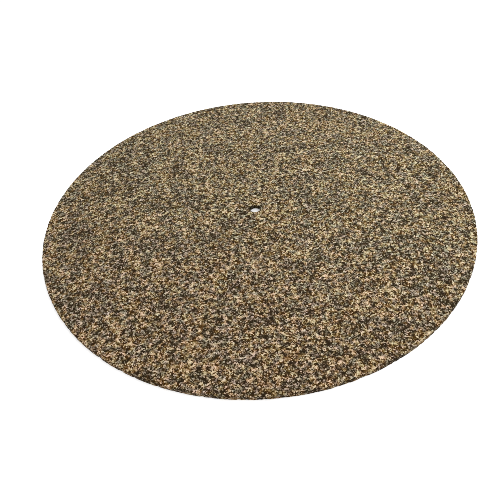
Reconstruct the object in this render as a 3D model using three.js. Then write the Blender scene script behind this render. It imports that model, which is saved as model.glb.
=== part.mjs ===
// Turntable platter mat: a flat disc die-cut from one sheet of cork and rubber granulate, with a hole for the spindle.
// It lies loose on the platter, and the record lies on it.
//
// Millimetres, +Z up. The origin is on the spindle's axis, in the plane of the underside that rests on the platter.
// The sheet is one bonded material all through, so the mat is one solid: a closed section turned about the spindle's axis.
// The cutting die goes in from above. It presses the sheet's upper edges round and leaves the lower ones nearly sharp.

import * as THREE from "three";

// The mat's own sizes.
const MAT_DIAMETER = 300; // covers the platter under a 12 inch record
const SHEET_THICKNESS = 3;

// The spindle hole, sized from the spindle that it drops over.
const SPINDLE_DIAMETER = 7.2;
const SPINDLE_CLEARANCE = 0.1; // all round the spindle, so that the mat lifts off by hand

// The cut edges, at the rim and round the hole.
const RIM_UPPER_RADIUS = 0.35;
const RIM_LOWER_RADIUS = 0.15;
const HOLE_UPPER_RADIUS = 0.3;
const HOLE_LOWER_RADIUS = 0.15;

// Fineness of the curved surfaces.
const FACETS_AROUND = 180;
const ARC_DIVISIONS = 1; // three.js draws each arc with twice as many chords

const RIGHT_ANGLE = Math.PI / 2;

// Half the mat's section, in the plane of the axis: x is the distance from the axis, and y is the height.
// It starts on the underside at the hole and runs outwards, up the rim, back along the top and down the hole's wall.
function matSection() {
  const rimRadius = MAT_DIAMETER / 2;
  const holeRadius = SPINDLE_DIAMETER / 2 + SPINDLE_CLEARANCE;
  const section = new THREE.Path();
  section.moveTo(holeRadius + HOLE_LOWER_RADIUS, 0);
  section.lineTo(rimRadius - RIM_LOWER_RADIUS, 0);
  easeEdge(section, rimRadius - RIM_LOWER_RADIUS, RIM_LOWER_RADIUS, RIM_LOWER_RADIUS, -RIGHT_ANGLE);
  section.lineTo(rimRadius, SHEET_THICKNESS - RIM_UPPER_RADIUS);
  easeEdge(section, rimRadius - RIM_UPPER_RADIUS, SHEET_THICKNESS - RIM_UPPER_RADIUS, RIM_UPPER_RADIUS, 0);
  section.lineTo(holeRadius + HOLE_UPPER_RADIUS, SHEET_THICKNESS);
  easeEdge(
    section,
    holeRadius + HOLE_UPPER_RADIUS,
    SHEET_THICKNESS - HOLE_UPPER_RADIUS,
    HOLE_UPPER_RADIUS,
    RIGHT_ANGLE,
  );
  section.lineTo(holeRadius, HOLE_LOWER_RADIUS);
  easeEdge(section, holeRadius + HOLE_LOWER_RADIUS, HOLE_LOWER_RADIUS, HOLE_LOWER_RADIUS, 2 * RIGHT_ANGLE);
  return section;
}

// A quarter turn, anticlockwise, that rounds one edge of the section. x and y are the arc's centre.
function easeEdge(section, x, y, radius, startAngle) {
  section.absarc(x, y, radius, startAngle, startAngle + RIGHT_ANGLE, false);
}

// The section turned about the spindle's axis. LatheGeometry turns about Y, so the result is stood up along Z.
// The last arc ends where the section starts, and its end is set to that very point so that the profile closes.
function matGeometry() {
  const outline = matSection().getPoints(ARC_DIVISIONS);
  outline[outline.length - 1].copy(outline[0]);
  const turned = new THREE.LatheGeometry(outline, FACETS_AROUND);
  return turned.rotateX(RIGHT_ANGLE);
}

// Cork and black rubber granules together read as a dull, warm brown.
const granulate = new THREE.MeshStandardMaterial({ color: 0x857259, roughness: 0.85, metalness: 0 });

const platterMat = new THREE.Mesh(matGeometry(), granulate);
platterMat.name = "platter_mat";

const mat = new THREE.Group();
mat.add(platterMat);

export default mat;
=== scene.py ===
"""Looks of the turntable platter mat, a disc die-cut from one sheet of cork and rubber granulate.

Metres, +Z up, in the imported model's frame: the origin is on the spindle's axis, in the plane of the
underside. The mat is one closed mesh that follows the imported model's section. Its granules lie flush or a
little sunk, and its cut edges are slightly ragged. One set of nodes fills space with granules, so that the
faces and the cut edges show the same sheet.
"""

import math
from collections import namedtuple

import bpy
import numpy as np
from mathutils import Matrix


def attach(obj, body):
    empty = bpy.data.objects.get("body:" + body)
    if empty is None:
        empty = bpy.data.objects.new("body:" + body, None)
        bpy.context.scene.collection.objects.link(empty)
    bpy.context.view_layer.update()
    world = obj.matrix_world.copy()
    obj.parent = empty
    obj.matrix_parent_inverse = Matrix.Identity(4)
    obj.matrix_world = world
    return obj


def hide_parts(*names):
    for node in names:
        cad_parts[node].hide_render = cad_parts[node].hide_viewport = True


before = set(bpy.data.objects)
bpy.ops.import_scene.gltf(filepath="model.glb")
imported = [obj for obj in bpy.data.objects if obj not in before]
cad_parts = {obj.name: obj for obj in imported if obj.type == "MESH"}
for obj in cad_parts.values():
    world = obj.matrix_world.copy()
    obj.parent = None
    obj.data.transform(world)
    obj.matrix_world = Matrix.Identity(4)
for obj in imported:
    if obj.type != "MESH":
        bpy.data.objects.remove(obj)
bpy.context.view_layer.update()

MM = 0.001
FULL_TURN = 2 * math.pi
RIGHT_ANGLE = math.pi / 2
NODE = "platter_mat"
SEED = 12
FLATNESS = 0.01 * MM

# How far apart the mesh's points lie. It is finest at the two cut edges and coarsens away from them.
TOP_SPACING = 1.2 * MM
UNDER_SPACING = 1.8 * MM
RIM_SPACING = 0.7 * MM
HOLE_SPACING = 0.35 * MM
WALL_SPACING = 0.45 * MM
SPACING_GROWTH = 0.25
ARC_STEPS = 3
FEWEST_AROUND = 8
FEWEST_UP_WALL = 2
# How far a point strays from its place, as a share of the spacing. With much more, triangles fold over.
JITTER = 0.32

# How deep the granules lie in each surface at most. The higher the power, the fewer of them lie deep.
FACE_RELIEF = 0.16 * MM
RELIEF = {"top": FACE_RELIEF, "under": FACE_RELIEF, "rim": 0.22 * MM, "hole": 0.14 * MM}
RELIEF_POWER = 3

# How the die tore the cut edges: granules pulled out of them, and a slower waver. The higher the power, the
# rarer the deep nicks.
RIM_NICK = 0.45 * MM
RIM_NICK_POWER = 4
RIM_WAVER = 0.12 * MM
RIM_WAVER_POWER = 1
HOLE_NICK = 0.18 * MM
HOLE_NICK_POWER = 2
NICK_LENGTH = 1.5 * MM
WAVER_LENGTH = 7 * MM
RAGGED_REACH = 2.2 * MM

# The granulate, seen cut through: granules of two sizes with crooked borders, and the mottle inside them.
LARGE_GRANULE = 1.2 * MM
SMALL_GRANULE = 0.6 * MM
SMALL_SHARE = 0.5
GRANULE_WARP = 0.35 * MM
WARP_LENGTH = 0.9 * MM
MOTTLE = 0.25 * MM
# Crowds and larger patches hold more cork or more rubber, which shifts the tones of the granules there.
CROWD = 3 * MM
CROWD_SHIFT = 0.9
PATCH = 8 * MM
PATCH_SHIFT = 0.4

# A granule's colour over its tone, from black rubber to pale cork. It is greyer where rubber crowds, and more
# golden where cork does.
AMONG_RUBBER = (
    (0.00, (0.022, 0.013, 0.005)),
    (0.38, (0.038, 0.025, 0.010)),
    (0.46, (0.081, 0.057, 0.029)),
    (0.58, (0.173, 0.134, 0.083)),
    (0.74, (0.351, 0.295, 0.212)),
    (0.90, (0.584, 0.515, 0.402)),
    (1.00, (0.793, 0.725, 0.605)),
)
AMONG_CORK = (
    (0.00, (0.030, 0.013, 0.002)),
    (0.38, (0.054, 0.024, 0.003)),
    (0.46, (0.106, 0.054, 0.011)),
    (0.58, (0.214, 0.130, 0.043)),
    (0.74, (0.411, 0.288, 0.138)),
    (0.90, (0.659, 0.506, 0.297)),
    (1.00, (0.871, 0.716, 0.485)),
)
GREY_TO_GOLDEN = (0.42, 0.58)

# What multiplies that colour: a tint from reddish to greenish by crowds, and the mottle's darks and lights.
CROWD_TINT = (
    (0.32, (1.05, 0.96, 1.01)),
    (0.50, (1.00, 1.00, 1.00)),
    (0.68, (0.95, 1.04, 0.99)),
)
MOTTLE_SHADE = (
    (0.25, (0.75, 0.75, 0.75)),
    (0.75, (1.25, 1.25, 1.25)),
)
# Painted shade and painted sheen: darker peach at the sheet's front, as shade, to olive at its back, as
# sheen.
PAINTED_SHADE_AND_SHEEN_TINT = (
    (0.00, (1.005, 0.950, 0.950)),
    (0.33, (0.998, 0.982, 0.980)),
    (0.48, (0.988, 1.012, 1.005)),
    (1.00, (0.985, 1.010, 1.010)),
)
PAINTED_SHADE_AND_SHEEN_TOWARDS = (0.3, 0.95, 0)
PAINTED_SHADE_AND_SHEEN_REACH = 150 * MM

# Painted shade on the hole's wall: this share of the brightness is left there, back to full at this depth.
HOLE_WALL_PAINTED_SHADE = 0.2
HOLE_WALL_PAINTED_SHADE_REACH = 0.4 * MM

# The surface: rubber is a little smoother than cork, and granules stand proud of each other.
RUBBER_TO_CORK = (0.3, 0.7)
ROUGHNESS = (0.7, 0.95)
SHEEN_LEVEL = 0.05
BUMP_STRENGTH = 0.5
BUMP_DEPTH = 0.15 * MM
MOTTLE_BUMP = 0.5

# The layout of the mat's textures in their square. The faces are discs, given by centre and radius.
TEXTURE_LAYOUT = "OFBake"
TOP_DISC = (0.36, 0.36, 0.357)
UNDER_DISC = (0.776, 0.776, 0.221)
# The cut walls are unrolled into strips, placed by the lower left corner of the first one.
RIM_STRIPS = 8
RIM_CORNER = (0.01, 0.74)
RIM_STRIP_LENGTH = 0.52
STRIP_STEP = 0.03
HOLE_CORNER = (0.75, 0.2)

# The camera of the photograph, in the frame of the mat.
CAMERA_PLACE = (0, -292.5 * MM, 250.6 * MM)
CAMERA_PAN = math.radians(-1.28)
CAMERA_TILT = math.radians(44.63)
CAMERA_ROLL = math.radians(-5.5)
SENSOR_MM = 36
LENS_MM = 38.41
NEAREST_SEEN = 10 * MM
PIXEL_FILTER_WIDTH = 0.8

# The light: a pale room all round, and one soft lamp above the mat, on the right and a little to the back.
ROOM_LIGHT = 0.45
LAMP_PLACE = (0.2, 0.08, 0.5)
LAMP_SIZE = 0.5
LAMP_WATTS = 2.3
FLOOR_SIZE = 8
FLOOR_COLOUR = (0.8, 0.8, 0.8, 1)
FLOOR_WHITENESS = 0.62
# Under the mat the floor gets less of that white, so that it shows in shade through the hole.
UNDER_WHITENESS = 0.15
FLOOR_FADE = (10 * MM, 140 * MM)

Ring = namedtuple("Ring", "radius height out up spacing zone")


def cad_radii():
    """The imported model's hole and rim, where each flat face starts and ends, and the thickness."""
    points = np.array([vertex.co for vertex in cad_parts[NODE].data.vertices])
    radius = np.hypot(points[:, 0], points[:, 1])
    height = points[:, 2]
    thickness = height.max()
    on_top = radius[height > thickness - FLATNESS]
    underneath = radius[height < FLATNESS]
    return {
        "hole": radius.min(),
        "rim": radius.max(),
        "top": (on_top.min(), on_top.max()),
        "under": (underneath.min(), underneath.max()),
        "thickness": thickness,
    }


def face_radii(inner, outer, coarse):
    """Radii from one edge of a flat face to the other, each with the spacing there."""
    radii = [inner]
    spacings = []
    while radii[-1] < outer:
        from_hole = HOLE_SPACING + SPACING_GROWTH * (radii[-1] - inner)
        from_rim = RIM_SPACING + SPACING_GROWTH * (outer - radii[-1])
        spacings.append(min(coarse, from_hole, from_rim))
        radii.append(radii[-1] + spacings[-1])
    stretch = (outer - inner) / (radii[-1] - inner)
    spacings.append(RIM_SPACING)
    return [(inner + (radius - inner) * stretch, spacing) for radius, spacing in zip(radii, spacings)]


def edge_arc(radius, height, size, start, spacing, zone):
    """The rings between the two ends of a rounded edge. radius and height are the arc's centre."""
    rings = []
    for step in range(1, ARC_STEPS):
        angle = start + RIGHT_ANGLE * step / ARC_STEPS
        out = math.cos(angle)
        up = math.sin(angle)
        rings.append(Ring(radius + size * out, height + size * up, out, up, spacing, zone))
    return rings


def wall(radius, start, end, out, spacing, zone):
    """The rings up or down a cut wall, both ends included."""
    count = max(FEWEST_UP_WALL, round(abs(end - start) / WALL_SPACING)) + 1
    return [Ring(radius, height, out, 0, spacing, zone) for height in np.linspace(start, end, count)]


def section_rings():
    """The section as rings: out along the underside, up the rim, back along the top and down the hole."""
    cad = cad_radii()
    top = cad["thickness"]
    rim_low = cad["rim"] - cad["under"][1]
    rim_high = cad["rim"] - cad["top"][1]
    hole_low = cad["under"][0] - cad["hole"]
    hole_high = cad["top"][0] - cad["hole"]
    under_radii = face_radii(*cad["under"], UNDER_SPACING)
    top_radii = face_radii(*cad["top"], TOP_SPACING)
    rings = [Ring(radius, 0, 0, -1, spacing, "under") for radius, spacing in under_radii]
    rings += edge_arc(cad["under"][1], rim_low, rim_low, -RIGHT_ANGLE, RIM_SPACING, "rim")
    rings += wall(cad["rim"], rim_low, top - rim_high, 1, RIM_SPACING, "rim")
    rings += edge_arc(cad["top"][1], top - rim_high, rim_high, 0, RIM_SPACING, "rim")
    rings += [Ring(radius, top, 0, 1, spacing, "top") for radius, spacing in reversed(top_radii)]
    rings += edge_arc(cad["top"][0], top - hole_high, hole_high, RIGHT_ANGLE, HOLE_SPACING, "hole")
    rings += wall(cad["hole"], top - hole_high, hole_low, -1, HOLE_SPACING, "hole")
    rings += edge_arc(cad["under"][0], hole_low, hole_low, 2 * RIGHT_ANGLE, HOLE_SPACING, "hole")
    return rings, cad


def around(rng, circumference, length, power):
    """A function of the angle that wavers about 0 along a cut edge, with the given length between knots."""
    knots = round(circumference / length)
    values = rng.random(knots) ** power
    values -= values.mean()
    angles = np.arange(knots) * FULL_TURN / knots
    return lambda angle: np.interp(angle, angles, values, period=FULL_TURN)


def ring_points(ring, rng, cad, edges):
    """One ring's points, with each granule's own place, height and share of the ragged edge."""
    count = max(FEWEST_AROUND, round(FULL_TURN * ring.radius / ring.spacing))
    step = FULL_TURN / count
    angle = (np.arange(count) + rng.random() + rng.uniform(-JITTER, JITTER, count)) * step
    radius = np.full(count, ring.radius)
    if ring.up in (1, -1) and ring.radius not in (*cad["top"], *cad["under"]):
        radius += rng.uniform(-JITTER, JITTER, count) * ring.spacing
    sunk = RELIEF[ring.zone] * rng.random(count) ** RELIEF_POWER
    height = ring.height - sunk * ring.up
    radius -= sunk * ring.out
    near_rim = np.clip(1 - (cad["rim"] - ring.radius) / RAGGED_REACH, 0, 1)
    near_hole = np.clip(1 - (ring.radius - cad["hole"]) / RAGGED_REACH, 0, 1)
    radius -= near_rim * (RIM_NICK * edges["rim_nick"](angle) + RIM_WAVER * edges["rim_waver"](angle))
    radius += near_hole * HOLE_NICK * edges["hole_nick"](angle)
    return angle, np.column_stack((radius * np.cos(angle), radius * np.sin(angle), height))


def stitch(first, second, first_start, second_start):
    """The triangles between two neighbouring rings of any counts. first and second are their angles."""
    first_middles = (first + np.append(first[1:], first[0] + FULL_TURN)) / 2
    second_middles = (second + np.append(second[1:], second[0] + FULL_TURN)) / 2
    index = np.arange(len(first))
    opposite = np.searchsorted(second_middles, first_middles) % len(second)
    from_first = np.column_stack((
        first_start + index,
        first_start + (index + 1) % len(first),
        second_start + opposite,
    ))
    index = np.arange(len(second))
    opposite = np.searchsorted(first_middles, second_middles, side="right") % len(first)
    from_second = np.column_stack((
        first_start + opposite,
        second_start + (index + 1) % len(second),
        second_start + index,
    ))
    return np.vstack((from_first, from_second))


def disc_layout(places, disc, rim, mirror):
    """Where the corners of triangles on a flat face lie in the texture layout."""
    scale = disc[2] / rim
    return np.stack((disc[0] + mirror * scale * places[..., 0], disc[1] + scale * places[..., 1]), axis=-1)


def strip_layout(angle, along, corner, strips, radius, scale):
    """Where the corners of triangles on a cut wall lie in the layout. along is the way up the wall."""
    angle = angle[:, :1] + (angle - angle[:, :1] + math.pi) % FULL_TURN - math.pi
    middle = angle.mean(axis=1, keepdims=True)
    share = FULL_TURN / strips
    strip = middle % FULL_TURN // share
    from_start = angle - middle + middle % FULL_TURN - strip * share
    across = corner[0] + from_start * radius * scale
    up = corner[1] + strip * STRIP_STEP + along * scale
    return np.stack((across, up), axis=-1)


def mat_mesh():
    """The whole mat as one closed mesh of stitched rings."""
    rng = np.random.default_rng(SEED)
    rings, cad = section_rings()
    rim_length = FULL_TURN * cad["rim"]
    hole_length = FULL_TURN * cad["hole"]
    edges = {
        "rim_nick": around(rng, rim_length, NICK_LENGTH, RIM_NICK_POWER),
        "rim_waver": around(rng, rim_length, WAVER_LENGTH, RIM_WAVER_POWER),
        "hole_nick": around(rng, hole_length, NICK_LENGTH, HOLE_NICK_POWER),
    }
    angles = []
    points = []
    starts = [0]
    for ring in rings:
        angle, places = ring_points(ring, rng, cad, edges)
        angles.append(angle)
        points.append(places)
        starts.append(starts[-1] + len(places))
    all_points = np.vstack(points)
    all_angles = np.concatenate(angles)
    strip_scale = RIM_STRIP_LENGTH * RIM_STRIPS / rim_length
    faces = []
    layout = []
    along = 0
    for index, ring in enumerate(rings):
        after = (index + 1) % len(rings)
        following = rings[after]
        triangles = stitch(angles[index], angles[after], starts[index], starts[after])
        faces.append(triangles)
        places = all_points[triangles]
        step = math.hypot(following.radius - ring.radius, following.height - ring.height)
        up_wall = along + step * ((triangles >= starts[after]) & (triangles < starts[after + 1]))
        zones = {ring.zone, following.zone}
        if zones == {"top"}:
            layout.append(disc_layout(places, TOP_DISC, cad["rim"], 1))
            along = 0
        elif zones == {"under"}:
            layout.append(disc_layout(places, UNDER_DISC, cad["rim"], -1))
            along = 0
        else:
            cut = (RIM_CORNER, RIM_STRIPS, cad["rim"]) if "rim" in zones else (HOLE_CORNER, 1, cad["hole"])
            layout.append(strip_layout(all_angles[triangles], up_wall, *cut, strip_scale))
            along += step
    mesh = bpy.data.meshes.new("mat_sheet")
    mesh.from_pydata(all_points.tolist(), [], np.vstack(faces).tolist())
    mesh.polygons.foreach_set("use_smooth", [True] * len(mesh.polygons))
    mesh.uv_layers.new(name=TEXTURE_LAYOUT).data.foreach_set("uv", np.vstack(layout).ravel())
    mesh.update()
    return mesh


def add_node(tree, kind, **settings):
    """A new shader node with those settings."""
    made = tree.nodes.new("ShaderNode" + kind)
    for name, value in settings.items():
        setattr(made, name, value)
    return made


def feed(tree, socket, value):
    """Links value to the socket if it is another node's output, and otherwise writes it there."""
    if isinstance(value, bpy.types.NodeSocket):
        tree.links.new(value, socket)
    else:
        socket.default_value = value


def arithmetic(tree, operation, *values):
    """A Math node's result."""
    made = add_node(tree, "Math", operation=operation)
    for socket, value in zip(made.inputs, values):
        feed(tree, socket, value)
    return made.outputs[0]


def noise(tree, place, size, detail=0):
    """A Noise Texture whose features are about size across."""
    made = add_node(tree, "TexNoise")
    feed(tree, made.inputs["Vector"], place)
    feed(tree, made.inputs["Scale"], 1 / size)
    feed(tree, made.inputs["Detail"], detail)
    return made


def granules(tree, place, size):
    """Three random numbers for each granule of that size, as separate outputs."""
    cells = add_node(tree, "TexVoronoi")
    feed(tree, cells.inputs["Vector"], place)
    feed(tree, cells.inputs["Scale"], 1 / size)
    parts = add_node(tree, "SeparateColor")
    feed(tree, parts.inputs[0], cells.outputs["Color"])
    return parts.outputs


def mix_values(tree, share, first, second):
    """first where share is 0, second where it is 1."""
    made = add_node(tree, "Mix", data_type="FLOAT")
    feed(tree, made.inputs[0], share)
    feed(tree, made.inputs[2], first)
    feed(tree, made.inputs[3], second)
    return made.outputs[0]


def mix_colours(tree, share, first, second, blend="MIX"):
    """first where share is 0, and second blended with it where share is 1."""
    made = add_node(tree, "Mix", data_type="RGBA", blend_type=blend)
    feed(tree, made.inputs[0], share)
    feed(tree, made.inputs[6], first)
    feed(tree, made.inputs[7], second)
    return made.outputs[2]


def product(tree, colour, *factors):
    """The colour multiplied by each of the factors in turn."""
    for factor in factors:
        colour = mix_colours(tree, 1, colour, factor, blend="MULTIPLY")
    return colour


def map_range(tree, value, source, target):
    """value carried over from the source range to the target range, and held at its ends."""
    made = add_node(tree, "MapRange")
    feed(tree, made.inputs["Value"], value)
    feed(tree, made.inputs["From Min"], source[0])
    feed(tree, made.inputs["From Max"], source[1])
    feed(tree, made.inputs["To Min"], target[0])
    feed(tree, made.inputs["To Max"], target[1])
    return made.outputs[0]


def ramp(tree, value, stops):
    """A Color Ramp through (position, (red, green, blue)) stops."""
    made = add_node(tree, "ValToRGB")
    elements = made.color_ramp.elements
    while len(elements) < len(stops):
        elements.new(0.5)
    for element, (position, colour) in zip(elements, stops):
        element.position = position
        element.color = (*colour, 1)
    feed(tree, made.inputs[0], value)
    return made.outputs[0]


def warped(tree, place):
    """Places pushed about by a fine noise, so that granules get crooked borders."""
    push = noise(tree, place, WARP_LENGTH, detail=1)
    centred = add_node(tree, "VectorMath", operation="SUBTRACT")
    feed(tree, centred.inputs[0], push.outputs["Color"])
    feed(tree, centred.inputs[1], (0.5, 0.5, 0.5))
    scaled = add_node(tree, "VectorMath", operation="SCALE")
    feed(tree, scaled.inputs[0], centred.outputs[0])
    feed(tree, scaled.inputs["Scale"], 2 * GRANULE_WARP)
    moved = add_node(tree, "VectorMath", operation="ADD")
    feed(tree, moved.inputs[0], place)
    feed(tree, moved.inputs[1], scaled.outputs[0])
    return moved.outputs[0]


def from_axis(tree, place):
    """How far places are from the spindle's axis."""
    flat = add_node(tree, "VectorMath", operation="MULTIPLY")
    feed(tree, flat.inputs[0], place)
    feed(tree, flat.inputs[1], (1, 1, 0))
    radius = add_node(tree, "VectorMath", operation="LENGTH")
    feed(tree, radius.inputs[0], flat.outputs[0])
    return radius.outputs["Value"]


def distance_towards(tree, place, direction):
    """How far places are from the origin in that direction."""
    made = add_node(tree, "VectorMath", operation="DOT_PRODUCT")
    feed(tree, made.inputs[0], place)
    feed(tree, made.inputs[1], direction)
    return made.outputs["Value"]


def painted_shade_and_sheen_tint(tree, place):
    """Painted shade and sheen: a tint for the granules' colour, changing slowly from the sheet's front to
    back.
    """
    distance = distance_towards(tree, place, PAINTED_SHADE_AND_SHEEN_TOWARDS)
    return ramp(tree, map_range(tree, distance, (-PAINTED_SHADE_AND_SHEEN_REACH, PAINTED_SHADE_AND_SHEEN_REACH), (0, 1)), PAINTED_SHADE_AND_SHEEN_TINT)


def painted_hole_shade(tree, place):
    """Painted shade: a grey to multiply the granules' colour by, dark on the hole's wall, 1 away from it."""
    hole = cad_radii()["hole"]
    return map_range(tree, from_axis(tree, place), (hole, hole + HOLE_WALL_PAINTED_SHADE_REACH), (HOLE_WALL_PAINTED_SHADE, 1))


def granulate():
    """Cork crumbs from cream to brown, locked in crumbs of black rubber."""
    material = bpy.data.materials.new("cork_and_rubber")
    material.use_nodes = True
    tree = material.node_tree
    shader = tree.nodes["Principled BSDF"]
    place = add_node(tree, "TexCoord").outputs["Object"]
    crooked = warped(tree, place)

    large = granules(tree, crooked, LARGE_GRANULE)
    small = granules(tree, crooked, SMALL_GRANULE)
    is_small = arithmetic(tree, "GREATER_THAN", small[2], 1 - SMALL_SHARE)
    tone = mix_values(tree, is_small, large[0], small[0])
    height = mix_values(tree, is_small, large[1], small[1])

    crowds = add_node(tree, "SeparateColor")
    feed(tree, crowds.inputs[0], noise(tree, place, CROWD, detail=1).outputs["Color"])
    patch = noise(tree, place, PATCH, detail=1).outputs["Fac"]
    patch_shift = arithmetic(tree, "MULTIPLY", patch, PATCH_SHIFT)
    shift = arithmetic(tree, "MULTIPLY_ADD", crowds.outputs[0], CROWD_SHIFT, patch_shift)
    mean_shift = (CROWD_SHIFT + PATCH_SHIFT) / 2
    tone = arithmetic(tree, "ADD", tone, arithmetic(tree, "SUBTRACT", shift, mean_shift))

    crowd = noise(tree, place, CROWD).outputs["Fac"]
    golden = map_range(tree, mix_values(tree, 0.5, crowd, patch), GREY_TO_GOLDEN, (0, 1))
    base = mix_colours(tree, golden, ramp(tree, tone, AMONG_RUBBER), ramp(tree, tone, AMONG_CORK))
    crowd_tint = ramp(tree, crowds.outputs[1], CROWD_TINT)
    mottle = noise(tree, place, MOTTLE, detail=2).outputs["Fac"]
    # The shade multiplies the mottle with the painted shade on the hole's wall and the painted shade and
    # sheen.
    shade = product(tree, ramp(tree, mottle, MOTTLE_SHADE), painted_hole_shade(tree, place), painted_shade_and_sheen_tint(tree, place))
    feed(tree, shader.inputs["Base Color"], product(tree, base, crowd_tint, shade))

    feed(tree, shader.inputs["Roughness"], map_range(tree, tone, RUBBER_TO_CORK, ROUGHNESS))
    feed(tree, shader.inputs["Specular IOR Level"], SHEEN_LEVEL)

    bump = add_node(tree, "Bump")
    feed(tree, bump.inputs["Strength"], BUMP_STRENGTH)
    feed(tree, bump.inputs["Distance"], BUMP_DEPTH)
    feed(tree, bump.inputs["Height"], arithmetic(tree, "MULTIPLY_ADD", mottle, MOTTLE_BUMP, height))
    feed(tree, shader.inputs["Normal"], bump.outputs[0])
    return material


def build_mat():
    """The mat, in place of the plain solid."""
    mat = bpy.data.objects.new("mat_sheet", mat_mesh())
    bpy.context.scene.collection.objects.link(mat)
    mat.data.materials.append(granulate())
    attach(mat, "root")
    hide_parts(NODE)


def seen_rays(tree):
    """1 for rays that show the surroundings, straight or in gloss or glass, and 0 for the light's rays."""
    rays = add_node(tree, "LightPath")
    gloss = arithmetic(tree, "MAXIMUM", rays.outputs["Is Glossy Ray"], rays.outputs["Is Transmission Ray"])
    return arithmetic(tree, "MAXIMUM", rays.outputs["Is Camera Ray"], gloss)


def build_floor():
    """A pale floor that shows white and still takes the mat's shadow."""
    half = FLOOR_SIZE / 2
    corners = [(-half, -half, 0), (half, -half, 0), (half, half, 0), (-half, half, 0)]
    mesh = bpy.data.meshes.new("floor")
    mesh.from_pydata(corners, [], [(0, 1, 2, 3)])
    floor = bpy.data.objects.new("floor", mesh)
    bpy.context.scene.collection.objects.link(floor)
    material = bpy.data.materials.new("pale_floor")
    material.use_nodes = True
    material.cycles.emission_sampling = "NONE"
    tree = material.node_tree
    shader = tree.nodes["Principled BSDF"]
    shader.inputs["Base Color"].default_value = FLOOR_COLOUR
    shader.inputs["Roughness"].default_value = 1
    shader.inputs["Specular IOR Level"].default_value = 0
    shader.inputs["Emission Color"].default_value = (1, 1, 1, 1)
    place = add_node(tree, "TexCoord").outputs["Object"]
    whiteness = map_range(tree, from_axis(tree, place), FLOOR_FADE, (UNDER_WHITENESS, FLOOR_WHITENESS))
    feed(tree, shader.inputs["Emission Strength"], arithmetic(tree, "MULTIPLY", seen_rays(tree), whiteness))
    mesh.materials.append(material)


def build_world():
    """A pale room that lights the mat evenly and shows white behind the floor."""
    world = bpy.data.worlds.new("pale_room")
    bpy.context.scene.world = world
    world.use_nodes = True
    tree = world.node_tree
    background = tree.nodes["Background"]
    background.inputs["Color"].default_value = (1, 1, 1, 1)
    feed(tree, background.inputs["Strength"], mix_values(tree, seen_rays(tree), ROOM_LIGHT, 1))


def build_lamp():
    """The large soft lamp, turned towards the mat."""
    light = bpy.data.lights.new("soft_lamp", "AREA")
    light.size = LAMP_SIZE
    light.energy = LAMP_WATTS
    lamp = bpy.data.objects.new("soft_lamp", light)
    bpy.context.scene.collection.objects.link(lamp)
    lamp.location = LAMP_PLACE
    lamp.rotation_euler = lamp.location.to_track_quat("Z", "Y").to_euler()


def build_camera():
    """The camera, panned, tilted and rolled as the photograph's."""
    camera = bpy.data.cameras.new("camera")
    camera.sensor_width = SENSOR_MM
    camera.lens = LENS_MM
    camera.clip_start = NEAREST_SEEN
    holder = bpy.data.objects.new("camera", camera)
    bpy.context.scene.collection.objects.link(holder)
    pan = Matrix.Rotation(-CAMERA_PAN, 4, "Z")
    tilt = Matrix.Rotation(RIGHT_ANGLE - CAMERA_TILT, 4, "X")
    roll = Matrix.Rotation(CAMERA_ROLL, 4, "Z")
    holder.matrix_world = Matrix.Translation(CAMERA_PLACE) @ pan @ tilt @ roll
    bpy.context.scene.camera = holder


build_camera()
build_world()
build_lamp()
build_floor()
build_mat()
bpy.context.scene.view_settings.view_transform = "Standard"
bpy.context.scene.cycles.filter_width = PIXEL_FILTER_WIDTH
bpy.context.scene.cycles.denoising_prefilter = "NONE"
